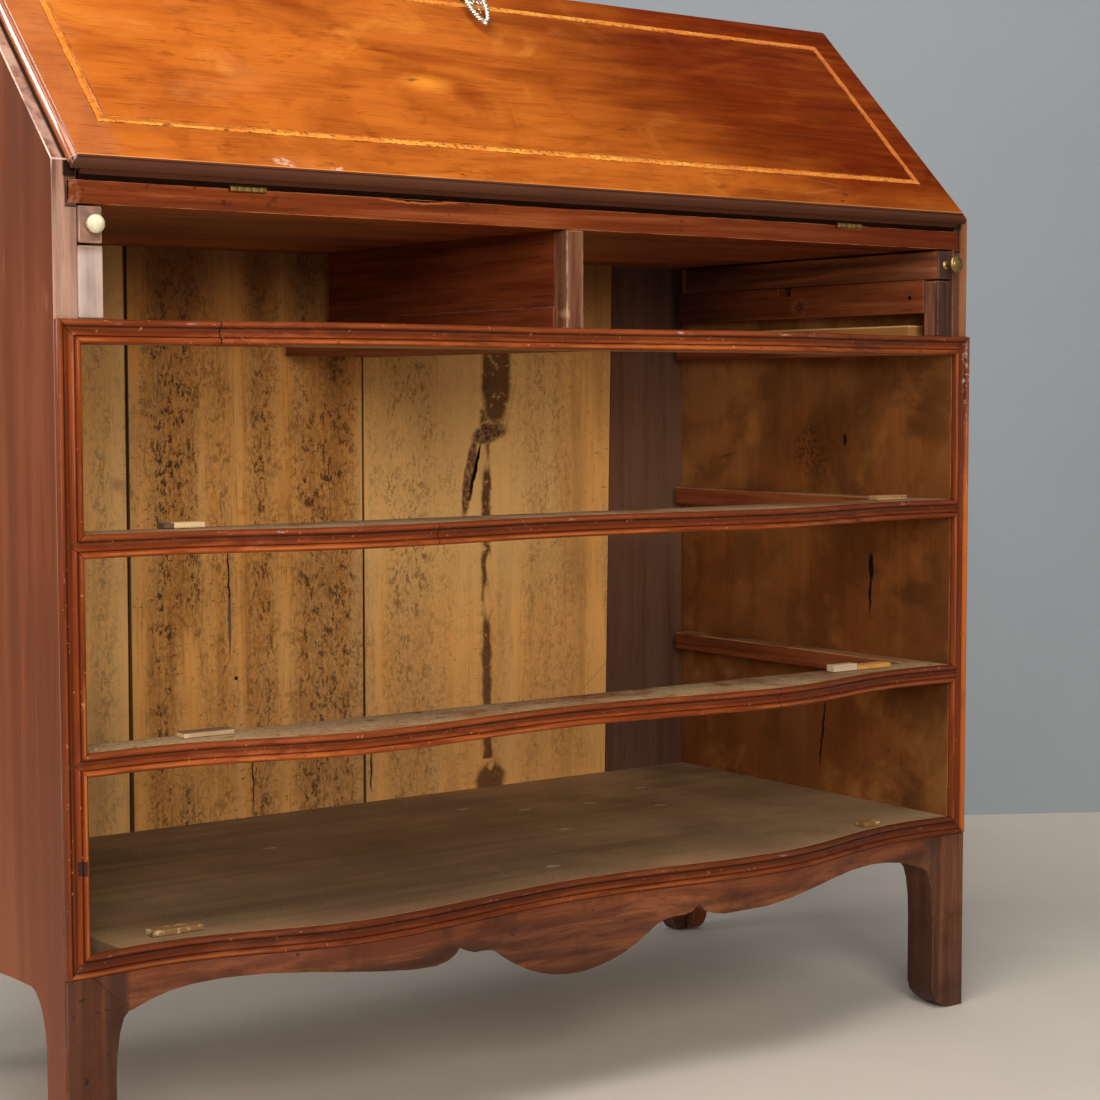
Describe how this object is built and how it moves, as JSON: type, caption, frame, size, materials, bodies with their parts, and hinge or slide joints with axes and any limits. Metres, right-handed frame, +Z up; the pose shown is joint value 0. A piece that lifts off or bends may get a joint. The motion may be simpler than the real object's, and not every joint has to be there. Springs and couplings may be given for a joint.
{
  "type": "fall front secretaire",
  "caption": "Slant-front writing bureau with a sloping flap, serpentine rails and apron, open drawer bays, pull-out lopers and a gallery of pigeonholes inside.",
  "frame": {"origin": "middle of the underside of the whole object, on the floor", "axes": "+X to the object's right seen from its front, +Y to the back, +Z up"},
  "size_m": [1, 0.4806, 1.03],
  "materials": {
    "side_wood": "satin shellac over reddish brown hardwood",
    "fall_wood": "glossy polished orange-brown hardwood",
    "inlay_wood": "light stringing with dark edges, polished flush",
    "moulding_wood": "glossy dark red-brown, worn lighter on the beads",
    "rail_wood": "dull brown, waxed",
    "apron_wood": "satin dark brown, lighter near the moulding",
    "pale_pine": "raw pine with dark spots, streaks and stains",
    "dark_pine": "raw softwood darkened with age",
    "floor_pine": "worn and dusty softwood",
    "runner_wood": "raw, rubbed softwood",
    "stop_wood": "raw light wood",
    "block_wood": "worn waxed hardwood, greyish",
    "gallery_wood": "satin brown hardwood",
    "brass": "dull aged brass",
    "steel": "plain dull steel",
    "silver": "bright plated, worn",
    "bone": "cream, polished"
  },
  "bodies": {
    "case": {"side_left": "side_wood", "side_right": "side_wood", "top_board": "side_wood", "rail_moulding_1": "moulding_wood", "rail_moulding_2": "moulding_wood", "rail_moulding_3": "moulding_wood", "base_moulding": "moulding_wood", "stile_moulding_left": "moulding_wood", "stile_moulding_right": "moulding_wood", "rail_1": "rail_wood", "rail_2": "rail_wood", "rail_3": "rail_wood", "hinge_rail": "rail_wood", "apron": "apron_wood", "front_foot_left": "apron_wood", "front_foot_right": "apron_wood", "rear_foot_left": "apron_wood", "rear_foot_right": "apron_wood", "back_board_1": "pale_pine", "back_board_2": "pale_pine", "back_board_3": "pale_pine", "back_board_4": "dark_pine", "bottom_board": "floor_pine", "runner_1_left": "runner_wood", "runner_1_right": "runner_wood", "runner_1_centre": "runner_wood", "runner_2_left": "runner_wood", "runner_2_right": "runner_wood", "runner_3_left": "runner_wood", "runner_3_right": "runner_wood", "loper_guide_left": "runner_wood", "loper_guide_right": "runner_wood", "stop_base_left": "stop_wood", "stop_base_right": "stop_wood", "stop_3_left": "stop_wood", "stop_3_right": "stop_wood", "stop_2_left": "stop_wood", "stop_2_right": "stop_wood", "divider_post": "block_wood", "filler_block_left": "block_wood", "filler_block_right": "block_wood", "writing_board": "gallery_wood", "divider_board": "gallery_wood", "gallery_rack": "gallery_wood", "hinge_rail_leaf_left": "brass", "hinge_rail_leaf_right": "brass"},
    "fall": {"fall_panel": "fall_wood", "fall_inlay": "inlay_wood", "hinge_fall_leaf_left": "brass", "hinge_fall_leaf_right": "brass", "lock_case": "brass"},
    "bolt": {"lock_bolt": "steel"},
    "key_shank": {"key": "silver"},
    "key_drop": {"key_bow": "silver"},
    "loper_l": {"loper_left": "block_wood", "loper_knob_left": "bone"},
    "loper_r": {"loper_right": "block_wood", "loper_knob_right": "brass"},
    "drawer_1": {"inner_drawer_1": "gallery_wood"},
    "drawer_2": {"inner_drawer_2": "gallery_wood"}
  },
  "joints": [
    {"name": "fall_hinge", "type": "hinge", "parent": "case", "child": "fall", "pos_m": [0, -0.20235, 0.801], "axis": [1, 0, 0], "range_deg": [0, 135]},
    {"name": "lock_bolt_slide", "type": "slide", "parent": "fall", "child": "bolt", "axis": [0, 0.7071, 0.7071], "range_m": [0, 0.0102]},
    {"name": "key_turn", "type": "hinge", "parent": "fall", "child": "key_shank", "pos_m": [0, -0.00687, 0.99648], "axis": [0, -0.7071, 0.7071], "range_deg": [0, 90]},
    {"name": "key_bow_swing", "type": "hinge", "parent": "key_shank", "child": "key_drop", "pos_m": [0, -0.03124, 1.02086], "axis": [-1, 0, 0], "range_deg": [0, 90]},
    {"name": "loper_left_slide", "type": "slide", "parent": "case", "child": "loper_l", "axis": [0, -1, 0], "range_m": [0, 0.28]},
    {"name": "loper_right_slide", "type": "slide", "parent": "case", "child": "loper_r", "axis": [0, -1, 0], "range_m": [0, 0.28]},
    {"name": "inner_drawer_1_slide", "type": "slide", "parent": "case", "child": "drawer_1", "axis": [0, -1, 0], "range_m": [0, 0.14]},
    {"name": "inner_drawer_2_slide", "type": "slide", "parent": "case", "child": "drawer_2", "axis": [0, -1, 0], "range_m": [0, 0.14]}
  ],
  "couplings": [
    {"joint": "lock_bolt_slide", "follows": "key_turn", "m_per_rad": 0.006366}
  ]
}
